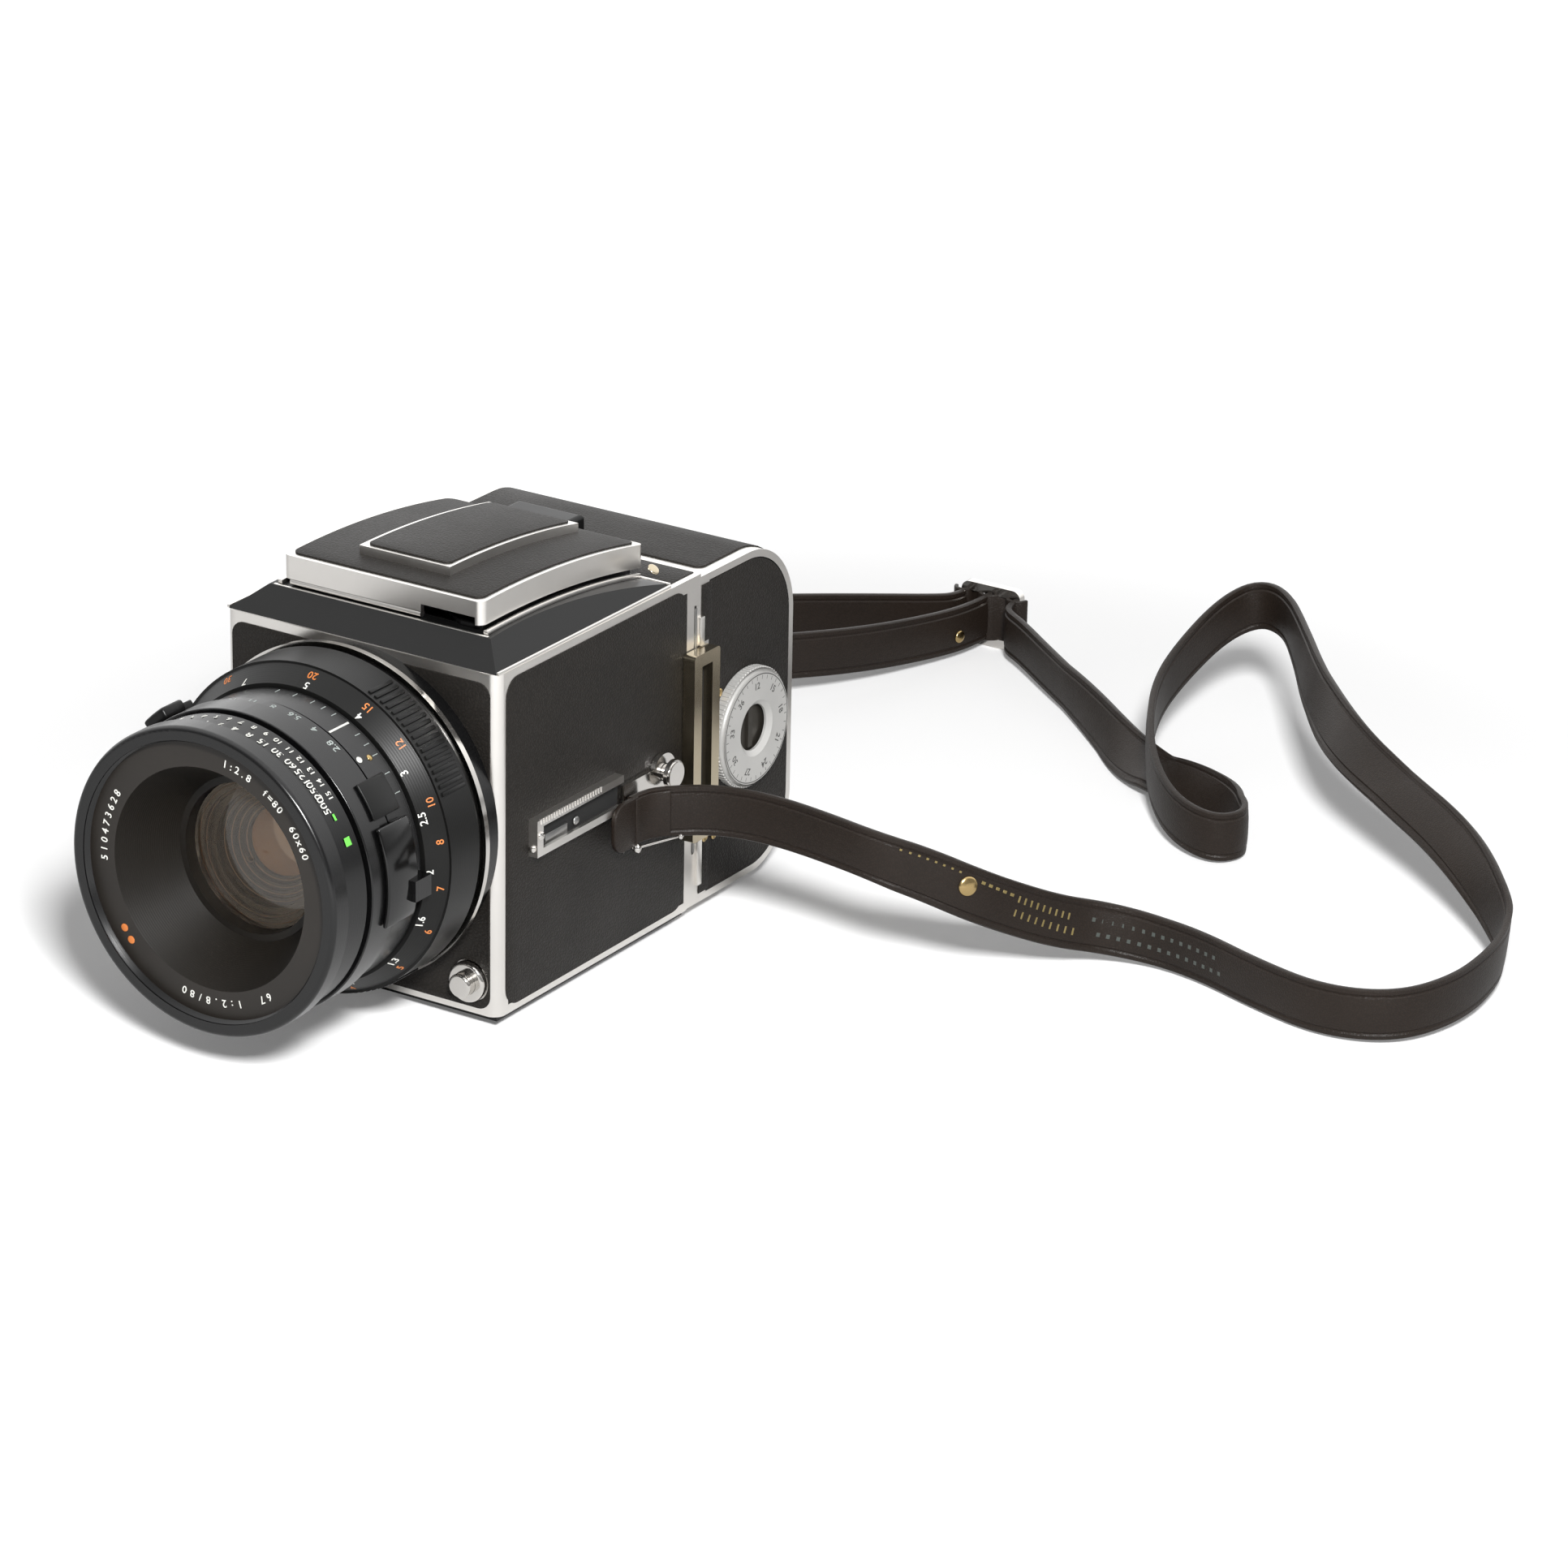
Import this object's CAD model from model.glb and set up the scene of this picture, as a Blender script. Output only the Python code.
import math

import bmesh
import bpy
from mathutils import Matrix, Vector


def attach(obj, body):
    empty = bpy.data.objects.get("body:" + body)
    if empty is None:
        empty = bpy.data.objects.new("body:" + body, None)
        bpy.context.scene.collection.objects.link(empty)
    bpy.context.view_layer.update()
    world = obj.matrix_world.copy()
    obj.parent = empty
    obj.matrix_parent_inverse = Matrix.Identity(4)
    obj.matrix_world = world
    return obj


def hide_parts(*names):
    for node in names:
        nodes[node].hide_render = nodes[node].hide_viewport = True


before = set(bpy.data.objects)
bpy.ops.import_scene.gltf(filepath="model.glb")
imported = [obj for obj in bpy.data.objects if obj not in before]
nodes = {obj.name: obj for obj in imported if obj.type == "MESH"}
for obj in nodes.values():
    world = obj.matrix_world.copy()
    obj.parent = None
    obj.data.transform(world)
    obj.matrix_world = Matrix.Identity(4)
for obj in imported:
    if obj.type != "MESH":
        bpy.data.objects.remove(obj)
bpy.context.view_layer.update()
mm = 0.001
print("frame loaded,", len(nodes), "nodes")

photo = {
    "pixels": 1932, "focalPixels": 8181.9, "sensor": 36.0,  # sensor width in mm
    "azimuth": 32.43, "elevation": 21.99, "roll": 1.06,  # degrees
    "distance": 1539.1, "right": 97.79, "up": 45.63,  # mm, from the foot of the body's front face
    "foot": (0.0, -40.0, 3.0),
    "nearest": 0.05, "farthest": 30.0,  # metres
}


def viewAxes():
    a, e, r = (math.radians(photo[name]) for name in ("azimuth", "elevation", "roll"))
    back = Vector((math.sin(a) * math.cos(e), -math.cos(a) * math.cos(e), math.sin(e)))
    level = Vector((math.cos(a), math.sin(a), 0.0))
    upright = back.cross(level)
    right = level * math.cos(r) + upright * math.sin(r)
    up = upright * math.cos(r) - level * math.sin(r)
    return right, up, back, level


def placeCamera():
    right, up, back, _ = viewAxes()
    lens = bpy.data.cameras.new("photoCamera")
    lens.sensor_width = photo["sensor"]
    lens.lens = photo["focalPixels"] / photo["pixels"] * photo["sensor"]
    lens.clip_start = photo["nearest"]
    lens.clip_end = photo["farthest"]
    eye = bpy.data.objects.new("photoCamera", lens)
    bpy.context.collection.objects.link(eye)
    spot = Vector(photo["foot"]) + back * photo["distance"] + right * photo["right"] + up * photo["up"]
    turn = Matrix((right, up, back)).transposed().to_4x4()
    eye.matrix_world = Matrix.Translation(spot * mm) @ turn
    bpy.context.scene.camera = eye


placeCamera()
print("camera placed")


def deselectAll():
    if bpy.context.object and bpy.context.object.mode != "OBJECT":
        bpy.ops.object.mode_set(mode="OBJECT")
    bpy.ops.object.select_all(action="DESELECT")


def selectOnly(piece):
    deselectAll()
    piece.select_set(True)
    bpy.context.view_layer.objects.active = piece


def leaveEdit():
    bpy.ops.object.mode_set(mode="OBJECT")


def settleFaces(piece, angle):
    # faces turned outwards, and shaded smooth across edges below the angle in degrees
    selectOnly(piece)
    bpy.ops.object.mode_set(mode="EDIT")
    bpy.ops.mesh.select_all(action="SELECT")
    bpy.ops.mesh.normals_make_consistent(inside=False)
    leaveEdit()
    bpy.ops.object.shade_smooth_by_angle(angle=math.radians(angle))


def hexColour(text):
    channels = [int(text[i:i + 2], 16) / 255 for i in (1, 3, 5)]
    linear = [c / 12.92 if c <= 0.04045 else ((c + 0.055) / 1.055) ** 2.4 for c in channels]
    return (*linear, 1.0)


def addNode(tree, kind, sockets=None, links=None, **settings):
    node = tree.nodes.new("ShaderNode" + kind)
    for name, setting in settings.items():
        setattr(node, name, setting)
    for name, number in (sockets or {}).items():
        node.inputs[name].default_value = number
    for name, source in (links or {}).items():
        tree.links.new(source, node.inputs[name])
    return node


def feedShader(tree, shader, **sources):
    # links an output into each named socket of the shader
    for name, source in sources.items():
        tree.links.new(source, shader.inputs[name.replace("_", " ")])


def newMaterial(name, colour, roughness, metallic=0.0, **sockets):
    material = bpy.data.materials.new(name)
    material.use_nodes = True
    tree = material.node_tree
    shader = tree.nodes["Principled BSDF"]
    shader.inputs["Base Color"].default_value = hexColour(colour)
    shader.inputs["Roughness"].default_value = roughness
    shader.inputs["Metallic"].default_value = metallic
    for label, number in sockets.items():
        shader.inputs[label.replace("_", " ")].default_value = number
    place = addNode(tree, "TexCoord").outputs["Object"]
    return material, tree, shader, place


def addTones(tree, place, first, second, size):
    # slow drift between two tones over a size in mm
    cloud = addNode(tree, "TexNoise", {"Scale": 1 / (size * mm), "Detail": 4.0}, {"Vector": place})
    blend = addNode(tree, "Mix", {"A": hexColour(first), "B": hexColour(second)},
                    {"Factor": cloud.outputs["Fac"]}, data_type="RGBA")
    return cloud.outputs["Fac"], blend.outputs["Result"]


hide = {
    "gloss": 0.22, "bump": 0.55, "valley": 0.28,  # valley: share of a cell that its rounded edge takes
    "wander": 0.4, "cloud": 45.0, "highTone": 0.5, "polish": 0.08,
}


def makeLeather(name, dark, light, roughness, grain, depth):
    # vegetable tanned leather with a pressed grain: soft cells with valleys between them
    material, tree, shader, place = newMaterial(name, dark, roughness, Specular_IOR_Level=hide["gloss"])
    grain *= mm
    bend = addNode(tree, "TexNoise", {"Scale": hide["wander"] / grain, "Detail": 2.0}, {"Vector": place})
    push = addNode(tree, "VectorMath", {1: (grain, grain, grain)},
                   {0: bend.outputs["Color"]}, operation="MULTIPLY")
    moved = addNode(tree, "VectorMath", None, {0: place, 1: push.outputs[0]}, operation="ADD")
    cells = addNode(tree, "TexVoronoi", {"Scale": 1 / grain},
                    {"Vector": moved.outputs[0]}, feature="DISTANCE_TO_EDGE")
    height = addNode(tree, "MapRange", {"From Max": hide["valley"]},
                     {"Value": cells.outputs["Distance"]}, interpolation_type="SMOOTHSTEP")
    bump = addNode(tree, "Bump", {"Strength": hide["bump"], "Distance": depth * mm},
                   {"Height": height.outputs[0]})
    cloud = addNode(tree, "TexNoise", {"Scale": hide["cloud"], "Detail": 5.0}, {"Vector": place})
    tone = addNode(tree, "Math", {1: hide["highTone"]}, {0: height.outputs[0]}, operation="MULTIPLY")
    share = addNode(tree, "Math", None, {0: tone.outputs[0], 1: cloud.outputs["Fac"]})
    colour = addNode(tree, "Mix", {"A": hexColour(dark), "B": hexColour(light)},
                     {"Factor": share.outputs[0]}, data_type="RGBA")
    rough = addNode(tree, "MapRange",
                    {"To Min": roughness + hide["polish"], "To Max": roughness - hide["polish"]},
                    {"Value": cloud.outputs["Fac"]})
    feedShader(tree, shader, Normal=bump.outputs[0], Base_Color=colour.outputs["Result"],
               Roughness=rough.outputs[0])
    return material


def makeHard(material, tree, shader, height, cloud, tone, roughness, spread, bump, depth):
    # what every hard surface shares: its tone, an uneven polish and relief from the given height
    rough = addNode(tree, "MapRange", {"To Min": roughness - spread, "To Max": roughness + spread},
                    {"Value": cloud})
    relief = addNode(tree, "Bump", {"Strength": bump, "Distance": depth * mm}, {"Height": height})
    feedShader(tree, shader, Base_Color=tone, Roughness=rough.outputs[0], Normal=relief.outputs[0])
    return material


worked = {"drift": 12.0, "bump": 0.3}


def makeSmooth(name, dark, light, roughness, metallic, spread, grit, depth, **sockets):
    # a worked hard surface: slow tone drift, uneven polish and a fine grit in the bump
    material, tree, shader, place = newMaterial(name, dark, roughness, metallic, **sockets)
    cloud, tone = addTones(tree, place, dark, light, worked["drift"])
    fine = addNode(tree, "TexNoise", {"Scale": 1 / (grit * mm), "Detail": 2.0}, {"Vector": place})
    return makeHard(material, tree, shader, fine.outputs["Fac"], cloud, tone, roughness, spread,
                    worked["bump"], depth)


turned = {"drift": 15.0, "bump": 0.25, "polish": 0.05, "axis": 1}  # the lathe's axis is y


def makeTurned(name, dark, light, roughness, metallic, pitch, depth, **sockets):
    # turned on a lathe, then anodised or plated: rings of fine tool marks along the axis
    material, tree, shader, place = newMaterial(name, dark, roughness, metallic, **sockets)
    cloud, tone = addTones(tree, place, dark, light, turned["drift"])
    parts = addNode(tree, "SeparateXYZ", None, {0: place})
    rate = addNode(tree, "Math", {1: 2 * math.pi / (pitch * mm)}, {0: parts.outputs[turned["axis"]]},
                   operation="MULTIPLY")
    wave = addNode(tree, "Math", None, {0: rate.outputs[0]}, operation="SINE")
    return makeHard(material, tree, shader, wave.outputs[0], cloud, tone, roughness, turned["polish"],
                    turned["bump"], depth)


glass = {"index": 1.52, "cloud": 60.0, "polish": 0.02}


def makeGlass(name, colour, roughness, clear=1.0, **sockets):
    # optical glass; clear is the share of light that passes
    material, tree, shader, place = newMaterial(name, colour, roughness, Transmission_Weight=clear,
                                                IOR=glass["index"], **sockets)
    cloud = addNode(tree, "TexNoise", {"Scale": glass["cloud"]}, {"Vector": place})
    rough = addNode(tree, "MapRange", {"To Min": roughness, "To Max": roughness + glass["polish"]},
                    {"Value": cloud.outputs["Fac"]})
    feedShader(tree, shader, Roughness=rough.outputs[0])
    return material


# Each has two tones and its roughness. A leather then has its grain and depth, a worked surface its metallic,
# the spread of its polish, its grit and depth, and a turned one its metallic, pitch and depth, in mm.
finishes = {
    "leatherette": makeLeather("blackLeatherette", "#11100e", "#1d1a17", 0.52, 0.9, 0.12),
    "smoothLeather": makeLeather("harnessLeather", "#15110e", "#221b16", 0.45, 0.6, 0.06),
    "satinChrome": makeSmooth("satinChrome", "#e2dfda", "#eeebe7", 0.3, 1.0, 0.05, 0.4, 0.01),
    "brightChrome": makeSmooth("brightChrome", "#cfccc7", "#dedbd7", 0.14, 1.0, 0.05, 0.8, 0.006),
    "blackEnamel": makeSmooth("stovedBlackEnamel", "#0a0a0a", "#101010", 0.34, 0.0, 0.06, 0.7, 0.02,
                              Specular_IOR_Level=0.22),
    "flockBlack": makeSmooth("mattBlackFlock", "#060606", "#0c0c0c", 0.85, 0.0, 0.05, 0.3, 0.05),
    "anodised": makeTurned("blackAnodisedAluminium", "#060606", "#0b0b0c", 0.24, 0.0, 0.6, 0.012,
                           Specular_IOR_Level=0.5),
    "bezelFace": makeTurned("mattAnodisedFace", "#1b1815", "#26221e", 0.5, 0.0, 0.6, 0.012,
                            Specular_IOR_Level=0.4),
    "bezelCone": makeTurned("blackenedBaffle", "#0e0b07", "#15110c", 0.5, 0.0, 0.5, 0.02,
                            Specular_IOR_Level=0.35),
    "anodisedSatin": makeTurned("satinBlackAnodised", "#0c0c0c", "#141413", 0.36, 0.0, 0.5, 0.01,
                                Specular_IOR_Level=0.24),
    "darkKey": makeSmooth("patinatedSteel", "#2e2c28", "#45413b", 0.4, 0.6, 0.05, 0.4, 0.01),
    "dialAluminium": makeSmooth("blastedAluminium", "#a6a5a3", "#bebdba", 0.45, 0.3, 0.05, 0.25, 0.02),
    "nickel": makeSmooth("nickelSilver", "#b3a78f", "#cdc2ab", 0.22, 1.0, 0.06, 0.5, 0.01),
    "brass": makeSmooth("cutBrass", "#a98f5e", "#c9b282", 0.26, 1.0, 0.06, 0.5, 0.01),
    "steel": makeSmooth("rolledSteel", "#8c8c8c", "#a3a3a2", 0.35, 1.0, 0.07, 0.4, 0.01),
    "plastic": makeSmooth("mouldedBlackPlastic", "#101010", "#181818", 0.45, 0.0, 0.05, 0.5, 0.03),
    "whitePaint": makeSmooth("whiteEngravingPaint", "#c9c9c3", "#e2e2dc", 0.5, 0.0, 0.05, 0.4, 0.01),
    "orangePaint": makeSmooth("orangeEngravingPaint", "#b4622a", "#cf7f3e", 0.5, 0.0, 0.05, 0.4, 0.01),
    "greyPaint": makeSmooth("greyEngravingPaint", "#8f9794", "#a9b0ad", 0.5, 0.0, 0.05, 0.4, 0.01),
    "greyInk": makeSmooth("darkEngravingInk", "#3c3b3a", "#504f4d", 0.5, 0.0, 0.05, 0.4, 0.01),
    "glossBlack": makeSmooth("polishedBlackLacquer", "#060606", "#0a0a0a", 0.12, 0.0, 0.03, 0.8, 0.01),
    "lensInside": makeSmooth("blackenedBrass", "#120d0a", "#241913", 0.34, 0.0, 0.05, 0.8, 0.01),
    "amberEdge": makeSmooth("amberCoatedEdge", "#4a3626", "#6e533b", 0.3, 0.0, 0.05, 0.8, 0.01),
    "amberGlass": makeSmooth("amberCoatedElement", "#5b4230", "#b08a64", 0.06, 0.0, 0.02, 6, 0.01,
                             Coat_Weight=1.0, Coat_Roughness=0.03),
    "giltFoil": makeSmooth("giltFoil", "#77693f", "#9a8a5c", 0.4, 0.6, 0.05, 0.4, 0.01),
    "blindTooling": makeSmooth("blindTooling", "#2f3330", "#474d49", 0.4, 0.0, 0.05, 0.4, 0.01),
    "greenPaint": makeSmooth("greenEngravingPaint", "#4fae3c", "#7be05c", 0.5, 0.0, 0.05, 0.4, 0.01),
    "film": makeSmooth("filmBackingPaper", "#2b1f1a", "#3a2a22", 0.4, 0.0, 0.05, 0.6, 0.01),
    "mirror": makeSmooth("frontSilvering", "#e4e4e6", "#efeff0", 0.03, 1.0, 0.01, 2, 0.001),
    "groundGlass": makeGlass("groundGlass", "#dfe6e4", 0.5, 0.7),
    "clearGlass": makeGlass("polishedGlass", "#f4f6f6", 0.03),
    "coatedGlass": makeGlass("coatedLensGlass", "#f7ead8", 0.0, Specular_IOR_Level=0.2),
}
print("finishes made")


def dress(nodeName, finish, *others):
    # others: further finishes, each with a test on a face's middle (mm) and normal
    mesh = nodes[nodeName].data
    mesh.materials.clear()
    mesh.materials.append(finishes[finish])
    for place, (other, test) in enumerate(others, start=1):
        mesh.materials.append(finishes[other])
        for face in mesh.polygons:
            if test(face.center / mm, face.normal):
                face.material_index = place


plainFinish = {
    "leatherette": ["left_leather", "right_leather", "front_leather", "insert_panel"],
    "satinChrome": ["magazine_front", "tripod_plate", "crank_disc"],
    "darkKey": ["dial_key"],
    "blackEnamel": ["base_plate", "left_wall", "right_wall", "rear_wall", "magnifier_arm",
                    "magazine_catch", "finder_base"],
    "flockBlack": ["mirror_box", "mirror_frame", "upper_flap", "lower_flap"],
    "brightChrome": ["lens_mount", "strap_lugs", "release_collar", "release_button", "film_crank",
                     "lens_release_button", "crank_arm", "strap_buckle", "tripod_socket"],
    "anodised": ["front_barrel", "aperture_ring", "shutter_ring", "preview_lever"],
    "anodisedSatin": ["focus_ring"],
    "steel": ["winding_shaft", "dark_slide", "insert_frame", "pressure_plate"],
    "lensInside": ["iris_blades"],
    "brass": ["winding_gear", "transport_gear"],
    "plastic": ["crank_knob", "supply_spool", "takeup_spool"],
    "dialAluminium": ["dial_ring"],
    "film": ["film"],
    "mirror": ["mirror_glass"],
    "groundGlass": ["focusing_screen"],
    "clearGlass": ["magnifier_lens"],
    "coatedGlass": ["lens_glass"],
}
for finish, names in plainFinish.items():
    for name in names:
        dress(name, finish)

bodyHalf = 38.35
bodyFront = -40.0
lensHeight = 48.1
areas = {
    # where a node's finish changes, mm: depths of walls, and limits across the length and the height
    "bodyWall": 1.2, "bodyHeights": (4.5, 85.5), "slotFloor": 40.0,
    "magazineWall": 1.0, "magazineLengths": (44.0, 81.0), "magazineHeights": (5.5, 84.0),
    "bezelFace": (-97.6, -96.8), "coneFront": -97.1, "coneRadius": 27.0,
    "clipTop": 32.0, "flange": (-47.6, -44.0), "flangeRadius": 38.8,
}


def between(number, limits):
    return limits[0] < number < limits[1]


def fromLensAxis(p):
    return Vector((p.x, p.z - lensHeight)).length


def insideBody(p, n):
    return (max(abs(p.x) - bodyHalf, bodyFront - p.y) < -areas["bodyWall"]
            and between(p.z, areas["bodyHeights"]))


def insideMagazine(p, n):
    return (abs(p.x) < bodyHalf - areas["magazineWall"] and between(p.y, areas["magazineLengths"])
            and between(p.z, areas["magazineHeights"]))


slotFloor = ("flockBlack", lambda p, n: n.x > 0.5 and p.x < areas["slotFloor"])
dress("body_shell", "satinChrome", ("flockBlack", insideBody))
dress("accessory_rail", "satinChrome", slotFloor)
dress("hood_lid", "satinChrome", ("blackEnamel", lambda p, n: n.z < -0.5))
dress("magazine_shell", "satinChrome", ("flockBlack", insideMagazine))
dress("front_bezel", "anodised",
      ("bezelFace", lambda p, n: n.y < -0.9 and between(p.y, areas["bezelFace"])),
      ("bezelCone", lambda p, n: p.y > areas["coneFront"] and fromLensAxis(p) < areas["coneRadius"]))
dress("strap_clips", "brightChrome", ("blackEnamel", lambda p, n: p.z < areas["clipTop"]))
dress("slide_handle", "nickel", slotFloor)
dress("rear_barrel", "anodised", ("brightChrome", lambda p, n: between(p.y, areas["flange"])
                                  and fromLensAxis(p) > areas["flangeRadius"]))
print("nodes dressed")

strap = {
    "width": 12.5, "step": 1.4,  # mm
    "smooth": 40, "curveSteps": 24,
    # one quarter of the section, across and up, with a creased line along each edge
    "quarter": [(6.25, 0.0), (6.2, 0.5), (5.95, 0.8), (5.1, 0.86), (4.8, 0.62), (4.5, 0.62), (4.2, 0.95),
                (2.4, 1.07)],
    "crown": 1.1,
}


def inMetres(route):
    return [tuple(round(part * mm, 8) for part in spot) for spot in route]


# the strap's routes in mm, as it lies on the ground beside the camera
longRoute = inMetres([
    (41.15, 9.5, 36), (41.15, 15, 36), (45.4, 19.6, 36.4), (53, 24.7, 36.8), (61.5, 27, 37),
    (71.5, 27.9, 36.8), (84.4, 27.6, 36), (98.9, 26.4, 35), (107.8, 34.2, 30), (114.6, 41.1, 25),
    (119, 51.4, 19), (125.9, 62.9, 13), (132.3, 73, 9.5), (143, 77.9, 7.5), (157.1, 76.8, 7),
    (175.2, 70.5, 6.8), (193.3, 65.7, 7), (207.4, 68.4, 7.5), (215.7, 76.9, 8), (219.5, 94.2, 8.5),
    (216.4, 117.6, 10), (206, 129.1, 15), (187.4, 143.5, 21), (164.1, 156, 25), (144.8, 167, 29),
    (125.1, 188.3, 31), (108, 212, 32), (96, 226.5, 33.5), (86.5, 229.5, 33.5), (80.5, 221, 30),
    (78, 205, 23), (79.5, 190, 18.5), (86.8, 173.3, 15.5), (98.6, 155.2, 11.5), (111.3, 143.6, 8.5),
    (124.4, 140.4, 7), (129, 149.5, 7), (120, 160, 7), (101.5, 168.7, 7), (81.6, 176.9, 4.8),
    (55.9, 198.5, 6.8), (33.7, 214.5, 8), (18, 226.6, 8.6), (12, 230.4, 8.6), (9.3, 234.1, 8.6),
    (9.3, 238.3, 8.6),
])
longLeans = [0] * 8 + [-5, -8, -10, -10, -6] + [0] * 7 + [5, 20, 45, 60, 45, 20, 8] + [0] * 11
longLeans += [40, 65, 20] + [0] * 5  # degrees
frontRoute = inMetres([
    (-41.15, 29.8, 39), (-41.15, 36, 39), (-45.6, 41.6, 38.6), (-52, 50.5, 37.3), (-60, 70, 31.5),
    (-65, 93, 24.5), (-62, 117, 18.5), (-51, 139, 14.5), (-35.5, 156.5, 13.3), (-19.5, 172.5, 13),
    (-9, 193, 11), (-2.6, 215, 9), (0.9, 229, 8.6), (0.9, 238.3, 8.6),
])
backRoute = inMetres([
    (-43.35, 29.8, 39), (-43.35, 34.3, 39), (-48.6, 40.3, 38.8), (-58, 53, 37.5), (-68.5, 77, 31.5),
    (-76, 105, 25.5), (-75, 133, 20.5), (-64.5, 157, 17.5), (-48.5, 176.5, 16), (-31.8, 195, 14.5),
    (-18.5, 214.3, 11.5), (-10, 227.6, 9.2), (-6.3, 233.3, 8.6), (-6.3, 238.3, 8.6),
])


def followRoute(name, route):
    curve = bpy.data.curves.new(name, "CURVE")
    curve.dimensions = "3D"
    curve.resolution_u = strap["curveSteps"]
    spline = curve.splines.new("NURBS")
    spline.points.add(len(route) - 1)
    for point, place in zip(spline.points, route):
        point.co = (*place, 1.0)
    spline.order_u = 3
    spline.use_endpoint_u = True
    holder = bpy.data.objects.new(name, curve)
    bpy.context.collection.objects.link(holder)
    mesh = bpy.data.meshes.new_from_object(holder)
    line = [vertex.co.copy() for vertex in mesh.vertices]
    bpy.data.objects.remove(holder)
    bpy.data.curves.remove(curve)
    bpy.data.meshes.remove(mesh)
    return line


def strapStations(name, route, leans):
    # even steps along the smooth line: place, way, the direction across the strap and out of its face
    line = followRoute(name, route)
    lengths = [0.0]
    for before, after in zip(line, line[1:]):
        lengths.append(lengths[-1] + (after - before).length)
    total = lengths[-1]
    count = max(2, round(total / (strap["step"] * mm)))
    spots = []
    k = 0
    for i in range(count + 1):
        at = total * i / count
        while k < len(lengths) - 2 and lengths[k + 1] < at:
            k += 1
        share = (at - lengths[k]) / max(lengths[k + 1] - lengths[k], 1e-9)
        along = (k + share) / (len(line) - 1) * (len(route) - 1)
        low = min(int(along), len(leans) - 2)
        lean = leans[low] + (leans[low + 1] - leans[low]) * (along - low)
        spots.append((line[k].lerp(line[k + 1], share), lean))
    stations = []
    for i, (spot, lean) in enumerate(spots):
        before = spots[max(i - 1, 0)][0]
        after = spots[min(i + 1, count)][0]
        way = (after - before).normalized()
        upright = (Vector((0, 0, 1)) - way * way.z).normalized()
        tilt = math.radians(lean)
        across = upright * math.cos(tilt) + way.cross(upright) * math.sin(tilt)
        stations.append((spot, way, across, way.cross(across)))
    return stations, total


def sectionLoop():
    quarter = strap["quarter"]
    top = quarter + [(0.0, strap["crown"])] + [(-a, b) for a, b in reversed(quarter)]
    return top + [(-a, -b) for a, b in top[1:-1]]


def makeStrap(name, node, route, leans):
    stations, total = strapStations(name, route, leans)
    loop = sectionLoop()
    verts = [spot + across * (a * mm) + face * (b * mm)
             for spot, _, across, face in stations for a, b in loop]
    size = len(loop)
    faces = [(i * size + k, i * size + (k + 1) % size, (i + 1) * size + (k + 1) % size, (i + 1) * size + k)
             for i in range(len(stations) - 1) for k in range(size)]
    faces.append(tuple(range(size)))
    faces.append(tuple(reversed(range((len(stations) - 1) * size, len(stations) * size))))
    mesh = bpy.data.meshes.new(name)
    mesh.from_pydata(verts, [], faces)
    piece = bpy.data.objects.new(name, mesh)
    bpy.context.collection.objects.link(piece)
    settleFaces(piece, strap["smooth"])
    mesh.materials.append(finishes["smoothLeather"])
    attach(piece, "camera")
    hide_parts(node)
    return piece, stations, total


longStrap, longStations, longLength = makeStrap("longStrap", "strap_long", longRoute, longLeans)
frontStrap, frontStations, frontLength = makeStrap("frontStrap", "strap_front", frontRoute,
                                                   [0] * len(frontRoute))
backStrap, backStations, backLength = makeStrap("backStrap", "strap_back", backRoute, [0] * len(backRoute))
print("straps made", round(longLength, 3), round(frontLength, 3), round(backLength, 3))

lens = {"axis": Vector((0.0, 0.0, lensHeight)), "steps": 96}  # steps: facets round a turned piece
arch = {"y": -20.2, "z": -172.4, "steps": 14}  # centre of the finder's arch, mm
eases = {"sheet": 0.12, "sheetAngle": 50, "figure": 0.03, "rivetAngle": 30}
mergeGap = 0.001 * mm  # corners closer than this become one


def addPrimitive(kind, **settings):
    deselectAll()
    getattr(bpy.ops.mesh, f"primitive_{kind}_add")(**settings)
    return bpy.context.object


def pick(piece, kind, test):
    # into edit mode, with only what has all its corners inside the test selected
    selectOnly(piece)
    bpy.ops.object.mode_set(mode="EDIT")
    bpy.ops.mesh.select_mode(type=kind)
    bpy.ops.mesh.select_all(action="DESELECT")
    grid = bmesh.from_edit_mesh(piece.data)
    for cell in {"VERT": grid.verts, "EDGE": grid.edges, "FACE": grid.faces}[kind]:
        corners = [cell] if kind == "VERT" else cell.verts
        cell.select = all(test(corner.co / mm) for corner in corners)
    grid.select_flush_mode()
    bmesh.update_edit_mesh(piece.data)


def extrudeBy(x, y, z):
    bpy.ops.mesh.extrude_region_move(TRANSFORM_OT_translate={"value": (x * mm, y * mm, z * mm)})


def spinAbout(centre, axis, degrees, steps):
    # mesh.spin turns left-handed about its axis
    bpy.ops.mesh.spin(steps=steps, angle=math.radians(degrees), center=Vector(centre) * mm,
                      axis=[-part for part in axis])


def useModifier(piece, kind, **settings):
    selectOnly(piece)
    modifier = piece.modifiers.new(kind.lower(), kind)
    for name, setting in settings.items():
        setattr(modifier, name, setting)
    bpy.ops.object.modifier_apply(modifier=modifier.name)


def softenEdges(piece, width, segments=2, angle=40):
    useModifier(piece, "BEVEL", width=width * mm, segments=segments, limit_method="ANGLE",
                angle_limit=math.radians(angle), harden_normals=False)


def thicken(piece, thickness, ease=eases["sheet"], segments=2):
    # a sheet gets its thickness, half to each side, and eased edges
    leaveEdit()
    useModifier(piece, "SOLIDIFY", thickness=thickness * mm, offset=0.0)
    softenEdges(piece, ease, segments, eases["sheetAngle"])


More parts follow.
